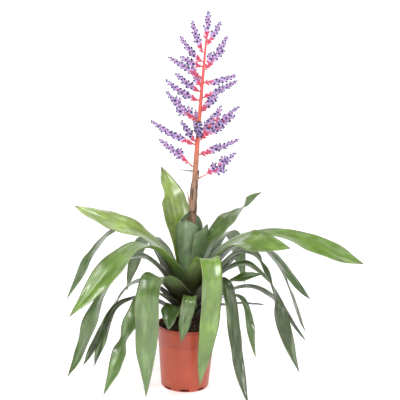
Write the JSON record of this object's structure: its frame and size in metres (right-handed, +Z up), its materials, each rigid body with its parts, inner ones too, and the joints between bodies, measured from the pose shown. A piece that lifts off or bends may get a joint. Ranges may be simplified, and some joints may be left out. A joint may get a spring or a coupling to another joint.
{
  "type": "potted bromeliad",
  "caption": "Bromeliad in a round nursery pot: a nest of arching strap leaves round a tall leaning flower stem with violet flower branches.",
  "frame": {"origin": "centre of the pot's flat underside, on the floor", "axes": "+Z up, out of the pot; +X to the right, the way the flower stem leans; -Y is the front"},
  "size_m": [0.6036, 0.4171, 0.7347],
  "materials": {
    "pot": "satin",
    "soil": "rough",
    "crown": "matt",
    "leaf": "satin",
    "stem": "matt",
    "bract": "matt",
    "flower": "satin"
  },
  "bodies": {
    "root": {"bract_dry": "bract", "bract_papery": "bract", "branch_01": "flower", "branch_02": "flower", "branch_03": "flower", "branch_04": "flower", "branch_05": "flower", "branch_06": "flower", "branch_07": "flower", "branch_08": "flower", "branch_09": "flower", "branch_10": "flower", "branch_11": "flower", "branch_12": "flower", "branch_13": "flower", "branch_14": "flower", "branch_15": "flower", "branch_16": "flower", "branch_17": "flower", "branch_18": "flower", "branch_19": "flower", "branch_20": "flower", "branch_21": "flower", "branch_22": "flower", "branch_top": "flower", "crown": "crown", "flower_stem": "stem", "leaf_arched_right": "leaf", "leaf_back": "leaf", "leaf_back_left": "leaf", "leaf_back_right": "leaf", "leaf_broad_left": "leaf", "leaf_curled": "leaf", "leaf_dark_left": "leaf", "leaf_down_right": "leaf", "leaf_far_left": "leaf", "leaf_flat_right": "leaf", "leaf_front_left": "leaf", "leaf_front_right": "leaf", "leaf_high_left": "leaf", "leaf_long_right": "leaf", "leaf_low_back": "leaf", "leaf_low_left": "leaf", "leaf_lower_right": "leaf", "leaf_narrow_left": "leaf", "leaf_ribbon_right": "leaf", "leaf_right": "leaf", "leaf_short_right": "leaf", "leaf_small_front": "leaf", "leaf_small_left": "leaf", "leaf_strap_left": "leaf", "leaf_thin_right": "leaf", "leaf_trailing": "leaf", "leaf_twisted_right": "leaf", "leaf_upright": "leaf", "leaf_vase_back": "leaf", "leaf_vase_front": "leaf", "leaf_vase_right": "leaf", "pot": "pot", "soil": "soil"}
  },
  "joints": []
}
